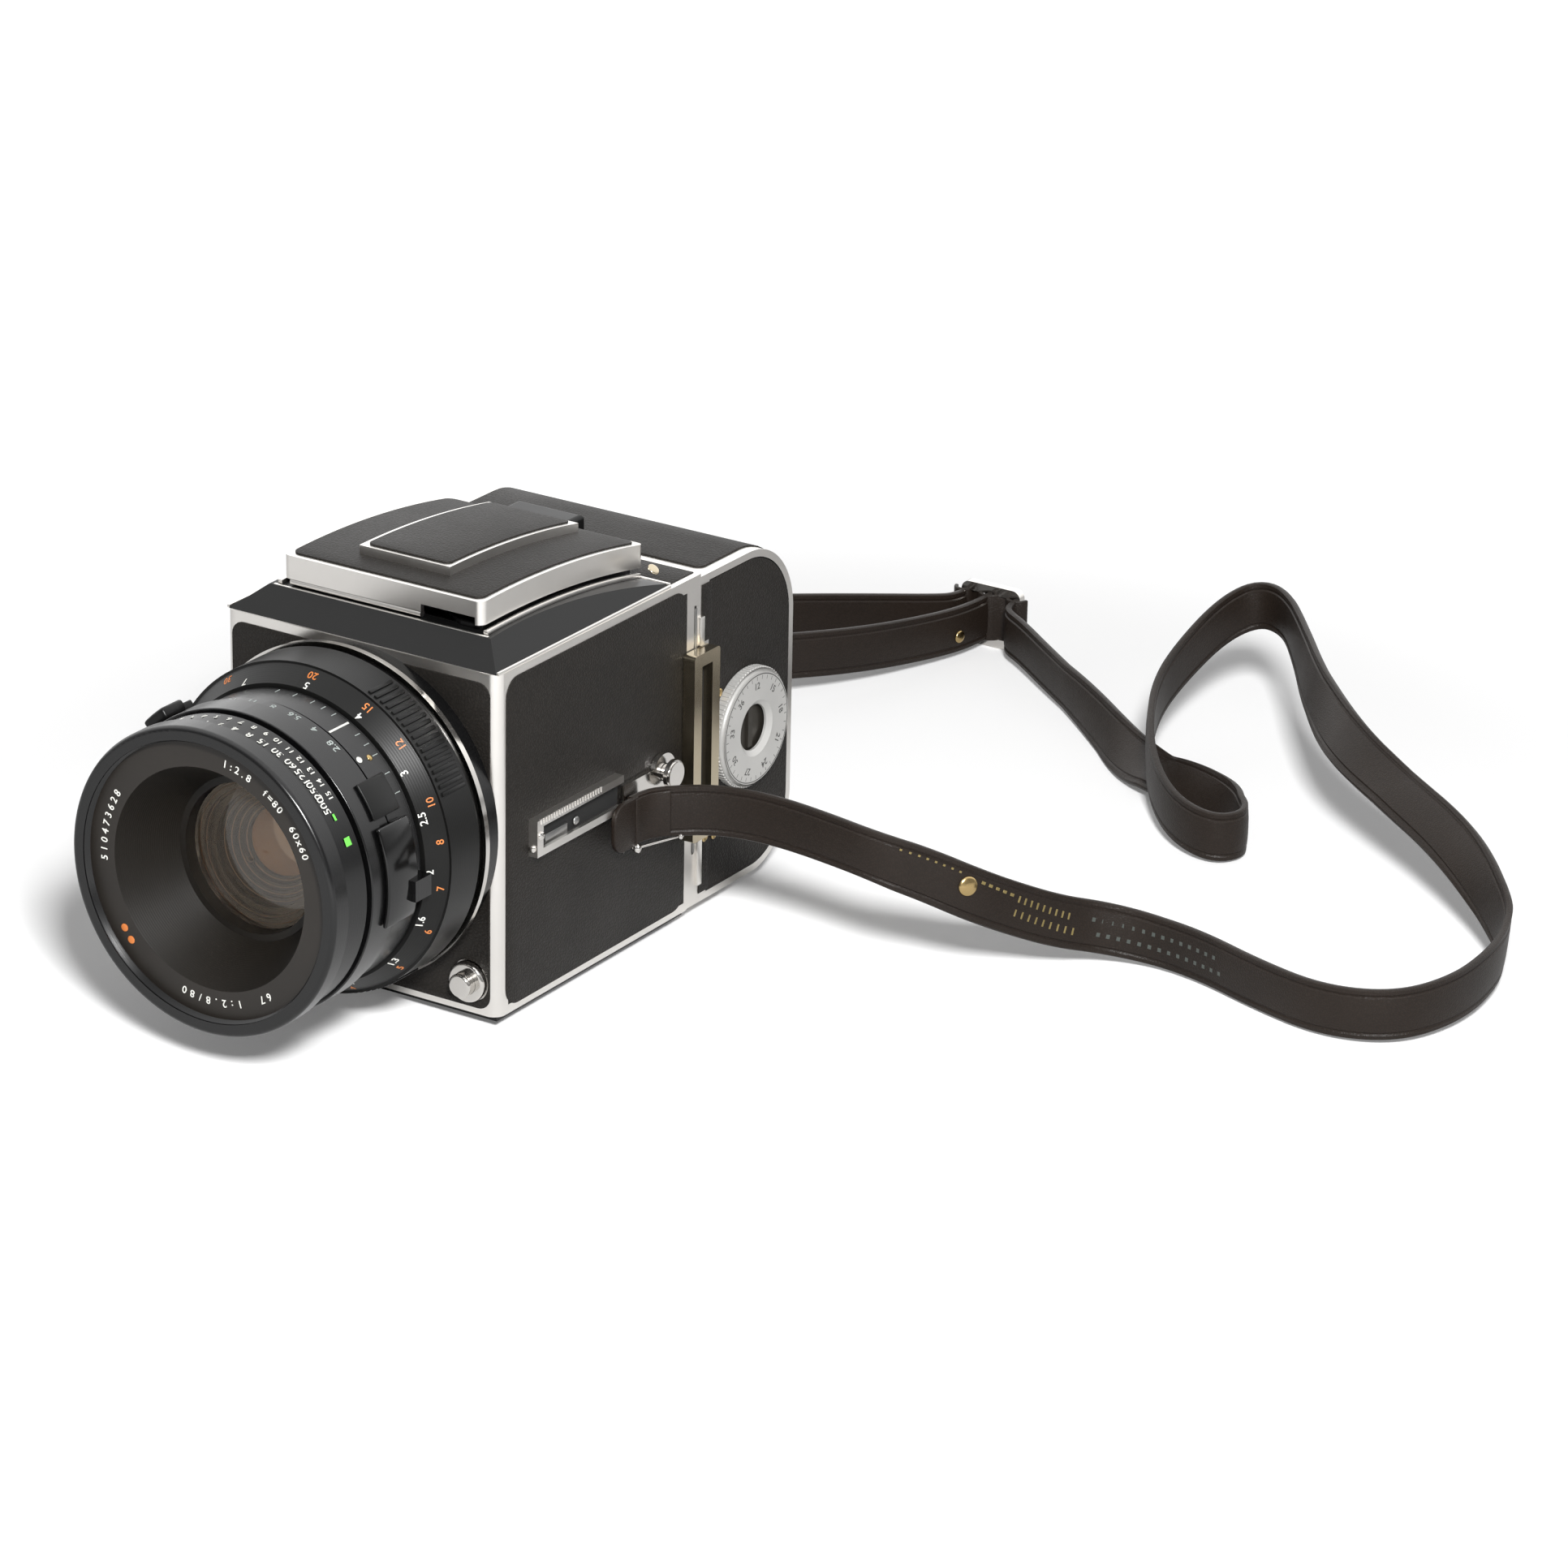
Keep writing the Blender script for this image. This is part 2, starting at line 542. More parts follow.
def roundCorners(radius, segments=5):
    # the selected corners of a flat sheet
    bpy.ops.mesh.bevel(offset=radius * mm, segments=segments, affect="VERTICES")
    leaveEdit()


def copyPiece(piece, place):
    twin = bpy.data.objects.new(piece.name, piece.data.copy())
    bpy.context.collection.objects.link(twin)
    twin.data.transform(place)
    return twin


def joinPieces(pieces):
    deselectAll()
    for piece in pieces:
        piece.select_set(True)
    bpy.context.view_layer.objects.active = pieces[0]
    bpy.ops.object.join()
    return bpy.context.object


def finishPiece(piece, name, body, finish, angle=35):
    selectOnly(piece)
    bpy.ops.object.transform_apply(location=True, rotation=True, scale=True)
    settleFaces(piece, angle)
    piece.name = name
    piece.data.name = name
    piece.data.materials.clear()
    piece.data.materials.append(finishes[finish])
    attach(piece, body)
    return piece


def keepCorner(x, y, z):
    # a mesh of one vertex, to draw from
    piece = addPrimitive("plane", size=mm, location=(x * mm, y * mm, z * mm))
    bpy.ops.object.transform_apply(location=True)
    pick(piece, "VERT", lambda p: p.x < x or p.y < y)
    bpy.ops.mesh.delete(type="VERT")
    bpy.ops.mesh.select_all(action="SELECT")
    bpy.ops.transform.translate(value=(-0.5 * mm, -0.5 * mm, 0))
    return piece


def drawLine(points):
    # an open chain of edges through the points
    piece = keepCorner(*points[0])
    for before, after in zip(points, points[1:]):
        extrudeBy(*(b - a for a, b in zip(before, after)))
    bpy.ops.mesh.select_all(action="SELECT")
    return piece


def mergeCorners():
    bpy.ops.mesh.select_all(action="SELECT")
    bpy.ops.mesh.remove_doubles(threshold=mergeGap)


def turnProfile(points, centre, axis, steps):
    # a closed profile, spun once round the axis
    piece = drawLine([*points, points[0]])
    mergeCorners()
    spinAbout(centre, axis, 360, steps)
    mergeCorners()
    leaveEdit()
    return piece


def turnOnLens(profile):
    # profile: (y, radius) in mm
    return turnProfile([(0.0, y, lensHeight + radius) for y, radius in profile], lens["axis"], (0, 1, 0),
                       lens["steps"])


def roundLens(degrees):
    # turn about the lens axis, clockwise from the top as seen from the front
    shift = Matrix.Translation(lens["axis"] * mm)
    return shift @ Matrix.Rotation(math.radians(degrees), 4, "Y") @ shift.inverted()


def placeOn(across, up, out, spot):
    turn = Matrix((across, up, out)).transposed().to_4x4()
    return Matrix.Translation(Vector(spot) * mm) @ turn


def clockHand(degrees):
    # how far to the side and up, clockwise from the top
    return math.sin(math.radians(degrees)), math.cos(math.radians(degrees))


def ringPlace(degrees, radius, y):
    # on the outside of a lens ring, upright towards the front
    s, c = clockHand(degrees)
    return placeOn(Vector((-c, 0, s)), Vector((0, -1, 0)), Vector((s, 0, c)),
                   (radius * s, y, lensHeight + radius * c))


def facePlace(degrees, radius, y):
    # on the front of the lens, upright away from its axis
    s, c = clockHand(degrees)
    return placeOn(Vector((c, 0, -s)), Vector((s, 0, c)), Vector((0, -1, 0)),
                   (radius * s, y, lensHeight + radius * c))


dialCentre = (62.0, 42.7)


def dialPlace(degrees, radius, x):
    s, c = clockHand(degrees)
    return placeOn(Vector((0, c, -s)), Vector((0, s, c)), Vector((1, 0, 0)),
                   (x, dialCentre[0] + radius * s, dialCentre[1] + radius * c))


def bar(x, y, z, edge=0.15, segments=2):
    # a straight bar between the given pairs of sides, with its edges eased
    piece = addPrimitive("cube", size=1.0)
    piece.scale = [(high - low) * mm for low, high in (x, y, z)]
    piece.location = [(high + low) / 2 * mm for low, high in (x, y, z)]
    bpy.ops.object.transform_apply(location=True, rotation=True, scale=True)
    softenEdges(piece, edge, segments)
    return piece


rivetShape = {"sides": 28, "domeShares": (0.8, 0.45), "ease": 0.12}  # ease: share of its radius


def stud(radius, height, dome):
    # a domed rivet head standing on z 0
    piece = addPrimitive("cylinder", vertices=rivetShape["sides"], radius=radius * mm, depth=height * mm,
                         location=(0, 0, height / 2 * mm))
    bpy.ops.object.transform_apply(location=True)
    pick(piece, "FACE", lambda p: p.z > height - 0.001)
    for share in rivetShape["domeShares"]:
        bpy.ops.mesh.extrude_region_move(TRANSFORM_OT_translate={"value": (0, 0, dome / 2 * mm)})
        bpy.ops.transform.resize(value=(share, share, 1), center_override=(0, 0, height * mm))
    leaveEdit()
    softenEdges(piece, radius * rivetShape["ease"], 2, eases["rivetAngle"])
    return piece


def placeStud(place, radius, height, dome):
    piece = stud(radius, height, dome)
    piece.data.transform(place)
    return piece


letters = {"capShare": 0.7, "depth": 0.04, "swell": 0.02, "curveSteps": 3}  # depth and swell in mm


def lettering(marks):
    # marks: text, height in mm and place; each is made a mesh and set in its place
    pieces = []
    for words, height, place in marks:
        deselectAll()
        bpy.ops.object.text_add()
        letter = bpy.context.object
        letter.data.body = words
        letter.data.size = height / letters["capShare"] * mm
        letter.data.align_x = "CENTER"
        letter.data.align_y = "CENTER"
        letter.data.extrude = letters["depth"] * mm
        letter.data.offset = letters["swell"] * mm
        letter.data.resolution_u = letters["curveSteps"]
        bpy.ops.object.convert(target="MESH")
        letter = bpy.context.object
        letter.data.transform(place)
        pieces.append(letter)
    return joinPieces(pieces)


def tickMarks(places, width, length, height=0.1):
    sides = [(-size / 2, size / 2) for size in (width, length, height)]
    tick = bar(*sides, eases["figure"], 1)
    pieces = [copyPiece(tick, place) for place in places]
    bpy.data.objects.remove(tick)
    return joinPieces(pieces)


def archSkin(x, y, radius, thickness, corner=0.0):
    # a sheet on the finder's arch: its near edge is drawn across and spun about the arch's axis
    middle = radius + thickness / 2
    tilt = [math.degrees(math.asin((place - arch["y"]) / middle)) for place in y]
    height = arch["z"] + middle * math.cos(math.radians(tilt[0]))
    piece = drawLine([(x[0], y[0], height), (x[1], y[0], height)])
    spinAbout((0, arch["y"], arch["z"]), (1, 0, 0), tilt[0] - tilt[1], arch["steps"])
    leaveEdit()
    if corner:
        ends = [vertex.co.y for vertex in piece.data.vertices]
        low, high = min(ends) / mm + 0.1, max(ends) / mm - 0.1
        pick(piece, "VERT", lambda p: p.y < low or p.y > high)
        roundCorners(corner)
    thicken(piece, thickness)
    return piece


# Finder
hood = {
    "lidLeather": {"x": (-26.6, 26.6), "y": (-30.0, 32.5), "radius": 272.5, "corner": 2.2},
    "domeLeather": {"x": (-11.5, 11.5), "y": (-21.3, 27.8), "radius": 275.0, "corner": 1.6},
    "leather": 0.4,
    "rail": {"x": (28.3, 29.5), "y": (-31.4, 30.4), "radius": 265.0, "height": 1.0},
    "footStrip": {"x": (37.45, 38.2), "y": (-39.4, 30.4), "z": (86.9, 87.75)},
    "frontStrip": {"x": (-30.1, 30.1), "y": (-32.4, -31.5), "z": (92.0, 92.5)},
    "rearStrip": {"x": (-37.4, 37.4), "y": (30.5, 31.3), "z": (86.9, 87.9)},
    "ease": 0.25,
}


def makeHood():
    for name in ("lidLeather", "domeLeather"):
        skin = hood[name]
        piece = archSkin(skin["x"], skin["y"], skin["radius"], hood["leather"], skin["corner"])
        finishPiece(piece, name, "hood_lid", "leatherette")
    rail = hood["rail"]
    for name, side in (("rightRail", 1), ("leftRail", -1)):
        x = sorted(side * place for place in rail["x"])
        finishPiece(archSkin(x, rail["y"], rail["radius"], rail["height"]), name, "camera", "satinChrome")
    foot = hood["footStrip"]
    for name, side in (("rightFootStrip", 1), ("leftFootStrip", -1)):
        x = sorted(side * place for place in foot["x"])
        finishPiece(bar(x, foot["y"], foot["z"], hood["ease"]), name, "camera", "satinChrome")
    for name in ("frontStrip", "rearStrip"):
        strip = bar(hood[name]["x"], hood[name]["y"], hood[name]["z"], hood["ease"])
        finishPiece(strip, "finder" + name[0].upper() + name[1:], "camera", "satinChrome")


makeHood()
print("finder made")

# Magazine
wrap = {"half": 35.3, "front": 47.0, "top": 86.2, "topRound": 20.0, "rear": 83.0, "bottom": 3.3,
        "bottomRound": 17.0, "leather": 0.4, "bendSteps": 14, "corner": 2.2}
sidePanel = {"front": 45.8, "rear": 80.6, "low": 6.0, "high": 83.6, "topRound": 17.4, "bottomRound": 14.4,
             "leather": 0.4}


def makeMagazineSkin():
    # one sheet over the top, round the back and under the magazine
    half, top = wrap["half"], wrap["top"] + wrap["leather"] / 2
    piece = drawLine([(-half, wrap["front"], top), (half, wrap["front"], top)])
    upper = (wrap["rear"] - wrap["topRound"], wrap["top"] - wrap["topRound"])
    lower = (wrap["rear"] - wrap["bottomRound"], wrap["bottom"] + wrap["bottomRound"])
    extrudeBy(0, upper[0] - wrap["front"], 0)
    spinAbout((0, *upper), (1, 0, 0), -90, wrap["bendSteps"])
    extrudeBy(0, 0, lower[1] - upper[1])
    spinAbout((0, *lower), (1, 0, 0), -90, wrap["bendSteps"])
    extrudeBy(0, wrap["front"] - lower[0], 0)
    leaveEdit()
    front = wrap["front"] + 0.1
    pick(piece, "VERT", lambda p: p.y < front)
    roundCorners(wrap["corner"])
    thicken(piece, wrap["leather"])
    finishPiece(piece, "magazineLeather", "camera", "leatherette")


def makeSidePanel():
    # the left side of the magazine: one face, drawn round its edge and filled
    p = sidePanel
    x = -bodyHalf - p["leather"] / 2
    top = (p["rear"] - p["topRound"], p["high"] - p["topRound"])
    bottom = (p["rear"] - p["bottomRound"], p["low"] + p["bottomRound"])
    line = [(x, p["front"], p["low"]), (x, p["front"], p["high"])]
    for (y, z), radius, start in ((top, p["topRound"], 90), (bottom, p["bottomRound"], 0)):
        for step in range(wrap["bendSteps"] + 1):
            turn = math.radians(start - 90 * step / wrap["bendSteps"])
            line.append((x, y + radius * math.cos(turn), z + radius * math.sin(turn)))
    piece = drawLine(line)
    bpy.ops.mesh.edge_face_add()
    thicken(piece, p["leather"])
    finishPiece(piece, "magazineSidePanel", "camera", "leatherette")


makeMagazineSkin()
makeSidePanel()
print("magazine skins made")

# Focus ring
focus = {
    "ribSectors": 3, "ribsEach": 17, "ribPitch": 2.6, "firstRib": 24.5,  # degrees
    "rib": {"width": 1.05, "y": (-58.9, -50.4), "radius": 39.72, "height": 0.5, "sunk": 0.4, "ease": 0.2},
    # distances and the angle each stands at
    "metres": [("15", -54.0), ("7", -24.0), ("5", 4.0), ("4", 28.0), ("3", 54.0), ("2.5", 71.5), ("2", 91.5),
               ("1.6", 112.0), ("1.3", 134.0), ("1.1", 158.0), ("0.9", 182.0)],
    "feet": [("50", -62.0), ("30", -34.0), ("20", 4.0), ("15", 28.0), ("12", 45.0), ("10", 67.0), ("8", 81.0),
             ("7", 98.0), ("6", 116.0), ("5", 136.0), ("4", 160.0), ("3", 184.0)],
    # each scale's name, its share of the way from the cone's rear edge to its front edge, and its paint
    "scales": {"metres": ("metreNumerals", 0.8, "whitePaint"), "feet": ("footNumerals", 0.3, "orangePaint")},
    "figure": 1.8, "coneRear": (-60.0, 39.2), "coneFront": (-64.5, 35.8),
}


def conePlace(degrees, share):
    # on the focus ring's cone, share of the way from its rear edge to its front edge
    (y0, r0), (y1, r1) = focus["coneRear"], focus["coneFront"]
    slope = math.atan2(r0 - r1, y0 - y1)
    s, c = clockHand(degrees)
    radial = Vector((s, 0, c))
    out = radial * math.cos(slope) + Vector((0, -1, 0)) * math.sin(slope)
    up = Vector((0, -1, 0)) * math.cos(slope) - radial * math.sin(slope)
    radius = r0 + (r1 - r0) * share
    return placeOn(Vector((-c, 0, s)), up, out,
                   (radius * s, y0 + (y1 - y0) * share, lensHeight + radius * c))


def makeFocusRing():
    rib = focus["rib"]
    foot = lensHeight + rib["radius"]
    blank = bar((-rib["width"] / 2, rib["width"] / 2), rib["y"], (foot - rib["sunk"], foot + rib["height"]),
                rib["ease"])
    pieces = []
    for sector in range(focus["ribSectors"]):
        for place in range(focus["ribsEach"]):
            angle = focus["firstRib"] + sector * 360 / focus["ribSectors"] + place * focus["ribPitch"]
            pieces.append(copyPiece(blank, roundLens(angle)))
    bpy.data.objects.remove(blank)
    finishPiece(joinPieces(pieces), "focusRibs", "focus_ring", "anodisedSatin")
    for unit, (name, share, paint) in focus["scales"].items():
        marks = [(text, focus["figure"], conePlace(angle, share)) for text, angle in focus[unit]]
        finishPiece(lettering(marks), name, "focus_ring", paint)


makeFocusRing()
print("focus ring made")

# Scale, aperture and shutter rings
shutterRear, shutterFront = (-86.05, 35.4), (-93.0, 34.4)  # y and radius of the shutter ring's cone
scale = {
    "radius": 35.0, "middle": 27.0, "paintLift": 0.03,
    "lines": [-32, -24, -16, -11, -6, 6, 11, 16, 24, 32],  # degrees from the middle
    "lineLift": 0.02, "lineY": -67.0, "lineSize": (0.2, 1.8),
    "indexY": -69.6, "indexSize": (0.55, 7.2),
}


def shutterSpot(share):
    # radius and y on the shutter ring, share of the way from its rear edge to its front edge
    (y0, r0), (y1, r1) = shutterRear, shutterFront
    return r0 + (r1 - r0) * share + scale["paintLift"], y0 + (y1 - y0) * share


# figures and their height, the angle of the first and the step to the next, radius and y, body and paint
ringFigures = {
    "apertureNumerals": ("22 16 11 8 5.6 4 2.8", 1.9, -24.0, 9.5, (35.52, -76.4), "aperture_ring",
                         "greyPaint"),
    "shutterNumerals": ("B 1 2 4 8 15 30 60 125 250 500", 2.1, -15.0, 6.6, shutterSpot(0.62), "shutter_ring",
                        "whitePaint"),
    "valueNumerals": ("2 3 4 5 6 7 8 9 10 11 12 13 14 15", 1.6, -24.0, 5.6, shutterSpot(0.2), "front_unit",
                      "whitePaint"),
}


def makeScales():
    lines = [ringPlace(scale["middle"] + angle, scale["radius"] + scale["lineLift"], scale["lineY"])
             for angle in scale["lines"]]
    finishPiece(tickMarks(lines, *scale["lineSize"]), "depthLines", "front_unit", "greyPaint")
    index = [ringPlace(scale["middle"], scale["radius"] + scale["paintLift"], scale["indexY"])]
    finishPiece(tickMarks(index, *scale["indexSize"]), "focusIndex", "front_unit", "whitePaint")
    for name, (figures, height, start, pitch, spot, body, paint) in ringFigures.items():
        marks = [(figure, height, ringPlace(start + place * pitch, *spot))
                 for place, figure in enumerate(figures.split())]
        finishPiece(lettering(marks), name, body, paint)


makeScales()
print("scales made")

# Controls that stand on the lens, and its marks
knobs = {
    # angle in degrees, y and radius in mm
    "greenMark": {"angle": 66.5, "y": -88.4, "size": (2.0, 2.4)},
    "dashMark": {"angle": 56.5, "y": -89.5, "size": (1.6, 0.7)},
    "markRadius": 35.1, "dotRadius": 34.98, "dot": (0.8, 0.15, 0.2),
    "dots": [(42.0, -72.3, "whitePaint"), (43.0, -69.0, "brass")],
    "lever": {"from": 67.0, "to": 104.0, "y": (-80.4, -69.4), "low": 34.9, "high": 37.5, "ease": 0.45},
    "grip": {"from": 50.0, "to": 64.0, "y": (-80.0, -70.4), "low": 34.9, "high": 37.1, "ease": 0.3},
    "coupling": {"from": -48.0, "to": -37.0, "y": (-83.0, -75.5), "low": 36.4, "high": 39.2, "ease": 0.8},
    "couplingTab": {"from": -46.0, "to": -39.0, "y": (-76.5, -71.5), "low": 34.9, "high": 38.2, "ease": 0.4},
    "bridge": {"y": -74.3, "low": 36.4},  # the pads stand on the scale ring and reach over the aperture ring
    "facet": 3.0, "fewestFacets": 3,  # a pad's facet spans about so many degrees
}


def lensPad(name):
    # a block curved round the lens between two angles, clear of the aperture ring it reaches over
    pad, bridge = knobs[name], knobs["bridge"]
    y, low, high = pad["y"], pad["low"], pad["high"]
    foot = [(y[0], low)]
    if low < bridge["low"]:
        foot = [(y[0], bridge["low"]), (bridge["y"], bridge["low"]), (bridge["y"], low)]
    outline = [*foot, (y[1], low), (y[1], high), (y[0], high)]
    piece = drawLine([(0, across, lensHeight + radius) for across, radius in outline])
    bpy.ops.mesh.edge_face_add()
    sweep = pad["to"] - pad["from"]
    spinAbout(lens["axis"], (0, 1, 0), sweep, max(knobs["fewestFacets"], round(sweep / knobs["facet"])))
    leaveEdit()
    piece.data.transform(roundLens(pad["from"]))
    softenEdges(piece, pad["ease"], 3, eases["sheetAngle"])
    return piece


def makeLensControls():
    finishPiece(lensPad("lever"), "leverPad", "front_unit", "glossBlack")
    finishPiece(lensPad("grip"), "leverGrip", "front_unit", "anodisedSatin")
    coupling = joinPieces([lensPad("coupling"), lensPad("couplingTab")])
    finishPiece(coupling, "valueCoupling", "front_unit", "blackEnamel")
    for name in ("greenMark", "dashMark"):
        mark = knobs[name]
        tick = tickMarks([ringPlace(mark["angle"], knobs["markRadius"], mark["y"])], *mark["size"])
        finishPiece(tick, name, "front_unit", "greenPaint")
    for place, (angle, y, paint) in enumerate(knobs["dots"]):
        dot = placeStud(ringPlace(angle, knobs["dotRadius"], y), *knobs["dot"])
        finishPiece(dot, f"lensDot{place}", "front_unit", paint)


front = {
    "thread": {"outer": 33.38, "crest": 33.33, "inner": 32.95, "from": -99.5, "pitch": 0.7, "turns": 3},
    "smooth": 20, "glassSmooth": 60,  # degrees
    "dots": [(-126.0, 29.7), (-132.0, 29.9)], "dot": (0.95, 0.08, 0.1), "dotY": -97.2,
    # plain figures on the face: figures, the angle of the first and the step to the next
    "figures": [("510473628", -93.0, 4.2), ("1:2.8  f=80  60x60", 10.0, 3.3), ("67  1:2.8/80", 146.0, 4.4)],
    "figureRadius": 29.3, "figureHeight": 1.8, "figureY": -97.22,
    "cell": [(-77.0, 17.7), (-77.0, 15.4), (-76.2, 15.2), (-76.2, 14.6), (-75.6, 14.4), (-75.6, 17.7)],
    "inner": [(-73.3, 14.8), (-73.3, 12.9), (-72.6, 12.7), (-72.6, 11.4), (-71.9, 11.2), (-71.9, 10.0),
              (-71.2, 9.8), (-71.2, 8.7), (-70.5, 8.5), (-70.5, 7.5), (-69.6, 7.3), (-69.6, 14.8)],
    "rims": [(-77.05, 16.6, 0.08), (-76.25, 14.9, 0.08), (-72.65, 12.0, 0.1), (-71.95, 10.6, 0.12),
             (-71.25, 9.3, 0.12), (-70.55, 8.0, 0.16)],
    "rimProud": 0.06,
    "element": {"radius": 7.4, "y": -69.9, "sag": 1.0, "thickness": 1.0, "steps": 6},
}


def threadProfile(outer, crest, inner, start, pitch, turns):
    profile = []
    for turn in range(turns):
        y = start + turn * pitch
        profile += [(y, crest), (y + pitch / 2, inner)]
    end = start + turns * pitch
    return profile + [(end, crest), (end, outer), (start, outer)]


def domeProfile(radius, y, sag, thickness, steps):
    # half of a lens element, flat behind and domed in front
    bow = (radius ** 2 + sag ** 2) / (2 * sag)
    profile = [(y + thickness, 0.0), (y + thickness, radius)]
    for step in range(steps + 1):
        out = radius * (1 - step / steps)
        profile.append((y - sag + bow - math.sqrt(bow ** 2 - out ** 2), out))
    return profile


def makeLensFront():
    thread = turnOnLens(threadProfile(*front["thread"].values()))
    finishPiece(thread, "filterThread", "front_unit", "anodised", front["smooth"])
    for name, profile in (("frontCellSteps", "cell"), ("innerCellSteps", "inner")):
        finishPiece(turnOnLens(front[profile]), name, "front_unit", "lensInside", front["smooth"])
    rims = [turnOnLens([(y, radius - width), (y - front["rimProud"], radius), (y, radius + width)])
            for y, radius, width in front["rims"]]
    finishPiece(joinPieces(rims), "amberRims", "front_unit", "amberEdge", front["glassSmooth"])
    element = turnOnLens(domeProfile(*front["element"].values()))
    finishPiece(element, "innerElement", "front_unit", "amberGlass", front["glassSmooth"])
    marks = []
    for figures, start, pitch in front["figures"]:
        marks += [(figure, front["figureHeight"],
                   facePlace(start + place * pitch, front["figureRadius"], front["figureY"]))
                  for place, figure in enumerate(figures) if figure != " "]
    finishPiece(lettering(marks), "faceFigures", "front_unit", "whitePaint")
    dots = [placeStud(facePlace(angle, radius, front["dotY"]), *front["dot"])
            for angle, radius in front["dots"]]
    finishPiece(joinPieces(dots), "faceDots", "front_unit", "orangePaint")


makeLensControls()
makeLensFront()
print("lens front made")

# Film type dial and the magazine's right side
dial = {
    "face": 42.0, "radius": 14.7, "steps": 72,
    "numbers": "12 15 18 21 24 27 30 33 36", "numberRadius": 10.6, "numberHeight": 1.7,
    "ticks": 36, "tickRadius": 12.6, "tickSize": (0.16, 1.0, 0.06),
    "line": {"radius": 13.45, "half": 0.12, "sunk": 0.02, "proud": 0.03},
    "knurls": 84, "knurl": {"x": (38.6, 40.9), "half": 0.28, "sunk": 0.2, "proud": 0.28, "ease": 0.12},
}


def turnOnDial(profile):
    # profile: (x, radius) in mm
    return turnProfile([(x, dialCentre[0], dialCentre[1] + radius) for x, radius in profile],
                       (0, *dialCentre), (1, 0, 0), dial["steps"])


def makeDial():
    face = dial["face"]
    ticks = [dialPlace(place * 360 / dial["ticks"], dial["tickRadius"], face)
             for place in range(dial["ticks"])]
    finishPiece(tickMarks(ticks, *dial["tickSize"]), "dialTicks", "dial_ring", "greyInk")
    line = dial["line"]
    low, high = face - line["sunk"], face + line["proud"]
    near, far = line["radius"] - line["half"], line["radius"] + line["half"]
    band = turnOnDial([(low, near), (high, near), (high, far), (low, far)])
    finishPiece(band, "dialLine", "dial_ring", "greyInk")
    figures = dial["numbers"].split()
    numbers = [(number, dial["numberHeight"],
                dialPlace(place * 360 / len(figures), dial["numberRadius"], face))
               for place, number in enumerate(figures)]
    finishPiece(lettering(numbers), "dialNumbers", "dial_ring", "greyInk")
    knurl, edge = dial["knurl"], dialCentre[1] + dial["radius"]
    rib = bar(knurl["x"], (dialCentre[0] - knurl["half"], dialCentre[0] + knurl["half"]),
              (edge - knurl["sunk"], edge + knurl["proud"]), knurl["ease"], 1)
    shift = Matrix.Translation(Vector((0, *dialCentre)) * mm)
    ribs = [copyPiece(rib, shift @ Matrix.Rotation(2 * math.pi * place / dial["knurls"], 4, "X")
                      @ shift.inverted()) for place in range(dial["knurls"])]
    bpy.data.objects.remove(rib)
    finishPiece(joinPieces(ribs), "dialKnurl", "dial_ring", "dialAluminium")


makeDial()
print("dial made")

# Leather panels pressed over the body's front and right side, and trim beside them
panels = {
    "frontPanel": {"across": (-36.2, 36.2), "up": (4.5, 84.6), "face": -40.0, "proud": 0.25, "corner": 3.2,
                   "holes": [(0.0, 48.1, 36.0), (30.6, 10.9, 5.15), (-30.0, 12.0, 4.6)]},
    "rightPanel": {"across": (-36.8, 36.6), "up": (4.6, 85.1), "face": 38.35, "proud": 0.2, "corner": 4.6,
                   "holes": []},
}
panelCut = {"facets": 72, "depth": 4.0, "cornerSteps": 6, "ease": 0.1}
trim = {
    # sides in x, y and z, then the eased edge and the finish
    "rearApron": ((-36.6, 36.6), (31.5, 42.1), (86.95, 87.2), 0.1, "leatherette"),
    "slideCoverHigh": ((38.3, 38.58), (42.9, 47.0), (69.6, 84.0), 0.08, "leatherette"),
    "slideCoverLow": ((38.3, 38.58), (42.9, 47.0), (5.6, 21.2), 0.08, "leatherette"),
    "slideRailHigh": ((38.3, 39.2), (41.5, 43.3), (69.3, 76.4), 0.2, "satinChrome"),
    "slideRailLow": ((38.3, 39.2), (41.5, 43.3), (8.2, 21.4), 0.2, "satinChrome"),
    "railPlate": ((38.4, 39.7), (-23.0, -14.0), (40.9, 43.4), 0.2, "steel"),
}
railKnurl = {"x": (40.4, 41.2), "first": -26.4, "pitch": 1.05, "count": 24, "width": 0.6, "z": (47.3, 48.72),
             "ease": 0.15}


def makePanel(name, sheet, upright):
    # a rounded sheet, given its thickness and cut round what stands through it; upright ones face the front
    low, high = sheet["across"]
    base, top = sheet["up"]
    level = sheet["face"]
    spots = [(low, base), (high, base), (high, top), (low, top)]
    piece = drawLine([(a, level, b) if upright else (level, a, b) for a, b in spots])
    bpy.ops.mesh.edge_face_add()
    roundCorners(sheet["corner"], panelCut["cornerSteps"])
    useModifier(piece, "SOLIDIFY", thickness=2 * sheet["proud"] * mm, offset=0.0)
    for across, up, radius in sheet["holes"]:
        cutter = addPrimitive("cylinder", vertices=panelCut["facets"], radius=radius * mm,
                              depth=panelCut["depth"] * mm, rotation=(math.pi / 2, 0, 0),
                              location=(across * mm, level * mm, up * mm))
        useModifier(piece, "BOOLEAN", object=cutter, operation="DIFFERENCE", solver="EXACT")
        bpy.data.objects.remove(cutter)
    softenEdges(piece, panelCut["ease"], 2, eases["sheetAngle"])
    finishPiece(piece, name, "camera", "leatherette")


